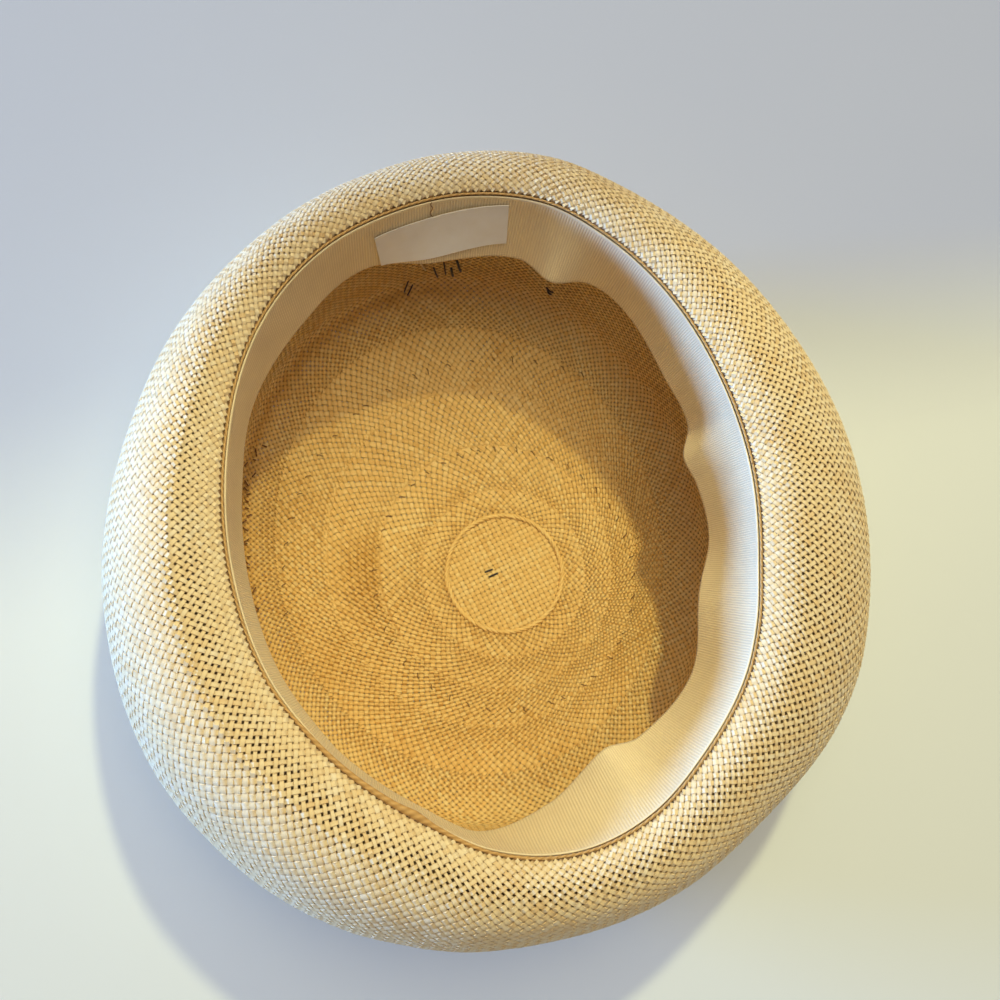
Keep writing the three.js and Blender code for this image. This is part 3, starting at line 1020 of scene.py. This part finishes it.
class HAT_OT_sweatband(bpy.types.Operator):
    """Sews the ribbed ribbon inside the rim, with its waves and folds"""

    bl_idname = "hat.sweatband"
    bl_label = "Sweatband"

    def execute(self, context):
        trim = context.scene.hat_trim
        ribs = round(2 * math.pi * (HEAD[0] + HEAD[1]) / 2 * MM / trim.rib)
        step = np.arange(ribs * RIB_STEPS)
        bearing = step * 2 * math.pi / len(step)
        across = np.array((0.0, 0.03, 0.06, 0.2, 0.36, 0.52, 0.68, 0.84, 0.975, 1.0))
        ridge = np.cos(step * 2 * math.pi / RIB_STEPS + RIB_PHASE)
        body = (across > RIBBON_SELVEDGE) & (across < 1)
        half = trim.ribbon_thickness / MM / 2
        raised = ridge[:, None] * body[None, :] * (trim.rib_height / MM) / 2
        inner = ribbon_points(bearing[:, None], across[None, :], half + raised)
        outer = ribbon_points(bearing[:, None], across[None, :], -half + raised)
        rings = np.concatenate([inner, outer[:, ::-1]], axis=1)
        cloth = Cloth()
        corners = rings.shape[1]
        shares = np.concatenate([across, across[::-1]])
        rib = step / RIB_STEPS
        fibres = np.stack(np.broadcast_arrays(shares[None, :], rib[:, None], np.zeros((1, corners))), axis=-1)
        quads = swept_quads(1, len(rings), corners, closed=True)
        cloth.add(rings, quads, np.full(rings.shape[:2], MIDDLE_TONE), fibres)
        band = show("sweatband_ribbon", cloth, ribbon_finish(trim), "ribbon", "sweatband")
        run = np.linalg.norm(np.diff(ribbon_points(bearing, 0.5, 0), axis=0), axis=-1).sum() * MM
        return {"FINISHED"}


class HAT_OT_label(bpy.types.Operator):
    """Lays the bare label on the sweatband at the back"""

    bl_idname = "hat.label"
    bl_label = "Label"

    def execute(self, context):
        trim = context.scene.hat_trim
        bpy.ops.object.select_all(action="DESELECT")
        bpy.ops.mesh.primitive_grid_add(x_subdivisions=48, y_subdivisions=20, size=1)
        tag = context.object
        tag.name = "label_tag"
        mesh = tag.data
        flat = np.empty(len(mesh.vertices) * 3)
        mesh.vertices.foreach_get("co", flat)
        flat = flat.reshape(-1, 3)
        along, up = flat[:, 0] * LABEL_SIZE[0], flat[:, 1] * LABEL_SIZE[1]
        cos, sin = math.cos(LABEL_SLANT), math.sin(LABEL_SLANT)
        x, y = along * cos - up * sin, along * sin + up * cos
        bearing = LABEL_BEARING - x / rim_radius(LABEL_BEARING)
        curl = 0.25 * np.sin(along * 0.16 + 1.0) + 0.2 * (up / LABEL_SIZE[1]) ** 2
        points = ribbon_points(bearing, LABEL_ACROSS - y / RIBBON_WIDTH, LABEL_OFF + curl)
        places = (points + AXIS) * MM
        mesh.vertices.foreach_set("co", places.ravel())
        mesh.update()
        bpy.ops.object.mode_set(mode="EDIT")
        bpy.ops.mesh.select_all(action="SELECT")
        bpy.ops.mesh.normals_make_consistent(inside=False)
        bpy.ops.object.mode_set(mode="OBJECT")
        wall = tag.modifiers.new("Thickness", "SOLIDIFY")
        wall.thickness = trim.label_thickness
        wall.offset = 0
        bpy.ops.object.modifier_apply(modifier=wall.name)
        bpy.ops.object.shade_smooth_by_angle(angle=math.radians(50))
        woven = {"amount": 0.25, "grain": 0.03, "roughness": 0.75, "sheen": 0.1}
        mesh.materials.append(cloth_finish("Label cloth", trim.paper, trim.soil, **woven))
        dress(tag, "label", "label")
        return {"FINISHED"}


class HAT_OT_seam(bpy.types.Operator):
    """Sews the seam between the ribbon and the brim: a thread, small brown stitches and the bound edge"""

    bl_idname = "hat.seam"
    bl_label = "Seam"

    def execute(self, context):
        bearing = np.arange(SEAM_STEPS) * 2 * math.pi / SEAM_STEPS
        path = turned(bearing, rim_radius(bearing) - 0.1, RIM + 0.3 + 0 * bearing)
        cloth = Cloth()
        add_tube(cloth, path, SEAM_RADIUS, UP, closed=True, flat=0.8)
        tan = thread_finish("Tan thread", (0.7, 0.44, 0.17), (0.5, 0.28, 0.09), pitch=2.2)
        show("seam_thread", cloth, tan, "ribbon")
        stitches = Cloth()
        rng = np.random.default_rng(8)
        t = np.linspace(-0.5, 0.5, 5)
        for k in range(SEAM_STITCHES):
            middle = 2 * math.pi * (k + rng.normal(0, 0.06)) / SEAM_STITCHES
            turn = middle + t * 2 * math.pi / SEAM_STITCHES * rng.uniform(0.45, 0.75)
            radius = rim_radius(turn) + 0.55 + rng.normal(0, 0.06)
            height = RIM + 0.35 + 0.35 * np.cos(t * math.pi)
            add_tube(stitches, turned(turn, radius, height), STITCH_RADIUS, UP, sides=5)
        brown = thread_finish("Brown thread", (0.5, 0.26, 0.09), (0.28, 0.13, 0.05), pitch=0.6)
        show("seam_stitches", stitches, brown, "ribbon")
        self.ridge()
        return {"FINISHED"}

    def ridge(self):
        """The bound edge that stands up along the front, coloured darker than the brim's straw as painted
        shade of its shaded side.
        """
        rows = np.array(RIDGE, float)
        turn = np.linspace(rows[0, 0], rows[-1, 0], 160)
        thick = np.interp(turn, rows[:, 0], rows[:, 1])
        bearing = np.radians(turn)
        path = turned(bearing, rim_radius(bearing) + 0.35 - 0.9 * thick, RIM + 0.3 + 0.6 * thick)
        cloth = Cloth()
        add_tube(cloth, path, thick, UP, sides=8)
        # darker than the brim's straw: painted shade of the edge's shaded side
        bound = thread_finish("Bound edge shade", (0.7, 0.42, 0.15), (0.52, 0.29, 0.09), pitch=2.6)
        show("seam_ridge", cloth, bound, "brim_straw")


class HAT_OT_splices(bpy.types.Operator):
    """Leaves small hooked ends where strands were laid into the tip and dark ends at its corner, both
    coloured dark as painted shade of the slits and holes there
    """

    bl_idname = "hat.splices"
    bl_label = "Strand ends"

    def execute(self, context):
        straw = context.scene.hat_straw
        top = STRAW / 2 + (straw.lift + straw.thickness / 2) / MM
        rng = np.random.default_rng(9)
        hook = np.array(SPLICE_HOOK)
        rise = 0.12 * np.sin(np.linspace(0, math.pi, len(hook)))
        cloth = Cloth()
        for x, y, radius, count in SPLICE_RINGS:
            for k in range(count):
                bearing = 2 * math.pi * (k + rng.normal(0, 0.13)) / count
                size, lean = rng.uniform(0.6, 1.05), rng.normal(0.5, 0.3)
                cos, sin = math.cos(bearing + lean), math.sin(bearing + lean)
                middle = np.array((x + radius * math.cos(bearing), y + radius * math.sin(bearing)))
                if np.hypot(*middle) > 0.95 * corner_radius(math.atan2(middle[1], middle[0])):
                    continue
                flat = middle + size * (hook[:, :1] * (cos, sin) + hook[:, 1:] * (-sin, cos))
                path = np.column_stack([flat, top + rise + dent_rise(flat[:, 0], flat[:, 1])])
                add_tube(cloth, path, SPLICE_RADIUS, UP, sides=5, flat=0.7)
        first, last, count = CORNER_ENDS
        t = np.linspace(-0.5, 0.5, 5)
        for k in range(count):
            turn = first + (last - first) * (k + rng.uniform()) / count
            bearing = np.radians(turn) + rng.normal(0, 0.012) * t
            run = rng.normal(-8.0, 1.3) + rng.uniform(1.0, 2.2) * t
            add_tube(cloth, inner_face(bearing, run, 0.2), CORNER_END_RADIUS, (0, 0.3, 1), sides=5)
        # the dark colour of these ends is painted shade of the slits and holes they stand for
        dark = thread_finish("Strand ends with gap shade", (0.3, 0.13, 0.03), (0.12, 0.05, 0.02), pitch=1.5)
        show("splice_ends_gap_shade", cloth, dark, "crown_straw")
        return {"FINISHED"}


class HAT_OT_stitches(bpy.types.Operator):
    """Sews the dark stitches at the back and on the tip, and leaves a pale thread end"""

    bl_idname = "hat.stitches"
    bl_label = "Loose stitches"

    def execute(self, context):
        dark = Cloth()
        for row in BACK_STITCHES:
            self.on_wall(dark, row)
        t = np.linspace(0, 1, 7)
        height = 0.9 + 0.6 * np.sin(math.pi * t)
        for x0, y0, x1, y1 in TIP_STITCHES:
            path = np.column_stack([x0 + (x1 - x0) * t, y0 + (y1 - y0) * t, height])
            add_tube(dark, path, TIP_STITCH_RADIUS, UP, flat=0.8)
        tints = (0.035, 0.035, 0.05), (0.01, 0.01, 0.016)
        navy = thread_finish("Dark thread", *tints, pitch=0.9, roughness=0.5)
        show("dark_stitches", dark, navy, "ribbon")
        pale = Cloth()
        self.on_wall(pale, PALE_END)
        cream = thread_finish("Cream thread", (0.86, 0.72, 0.5), (0.6, 0.46, 0.28), pitch=0.9)
        show("thread_end", pale, cream, "ribbon")
        join = Cloth()
        across = np.linspace(0.0, 0.3, 12)
        path = ribbon_points(RIBBON_JOIN + 0.004 * np.sin(across * 40), across, 0.42 + 0 * across)
        add_tube(join, path, JOIN_RADIUS, (0, -1, 0), sides=5)
        brown = bpy.data.materials["Brown thread"]
        show("ribbon_join", join, brown, "ribbon")
        return {"FINISHED"}

    def on_wall(self, cloth, row):
        """A stitch on the inside of the wall, with both ends in the straw."""
        from_bearing, from_run, to_bearing, to_run, thick = row
        t = np.linspace(0, 1, 8)
        bearing = np.radians(from_bearing + (to_bearing - from_bearing) * t)
        inward = -0.45 + 0.55 * np.sin(math.pi * t)
        path = inner_face(bearing, from_run + (to_run - from_run) * t, inward)
        add_tube(cloth, path, thick, (0, -1, 0.3), flat=0.8)


class HAT_PT_panel(bpy.types.Panel):
    """Lists the steps that dress the hat"""

    bl_idname = "HAT_PT_panel"
    bl_label = "Straw pillbox hat"
    bl_space_type = "VIEW_3D"
    bl_region_type = "UI"
    bl_category = "Hat"

    def draw(self, context):
        for step in STEPS:
            self.layout.operator(step.bl_idname)
        for settings in (context.scene.hat_straw, context.scene.hat_trim):
            for name in settings.bl_rna.properties.keys():
                if name not in ("rna_type", "name"):
                    self.layout.prop(settings, name)


STEPS = (
    HAT_OT_stage,
    HAT_OT_crown,
    HAT_OT_tip,
    HAT_OT_splices,
    HAT_OT_brim,
    HAT_OT_sweatband,
    HAT_OT_label,
    HAT_OT_seam,
    HAT_OT_stitches,
)
CLASSES = (HatStraw, HatTrim, *STEPS, HAT_PT_panel)


def register():
    for item in CLASSES:
        bpy.utils.register_class(item)
    bpy.types.Scene.hat_straw = PointerProperty(type=HatStraw)
    bpy.types.Scene.hat_trim = PointerProperty(type=HatTrim)


def unregister():
    del bpy.types.Scene.hat_trim
    del bpy.types.Scene.hat_straw
    for item in reversed(CLASSES):
        bpy.utils.unregister_class(item)


def main():
    register()
    bpy.ops.hat.stage()
    bpy.ops.hat.crown()
    bpy.ops.hat.tip()
    bpy.ops.hat.splices()
    bpy.ops.hat.brim()
    bpy.ops.hat.sweatband()
    bpy.ops.hat.label()
    bpy.ops.hat.seam()
    bpy.ops.hat.stitches()


if __name__ == "__main__":
    main()
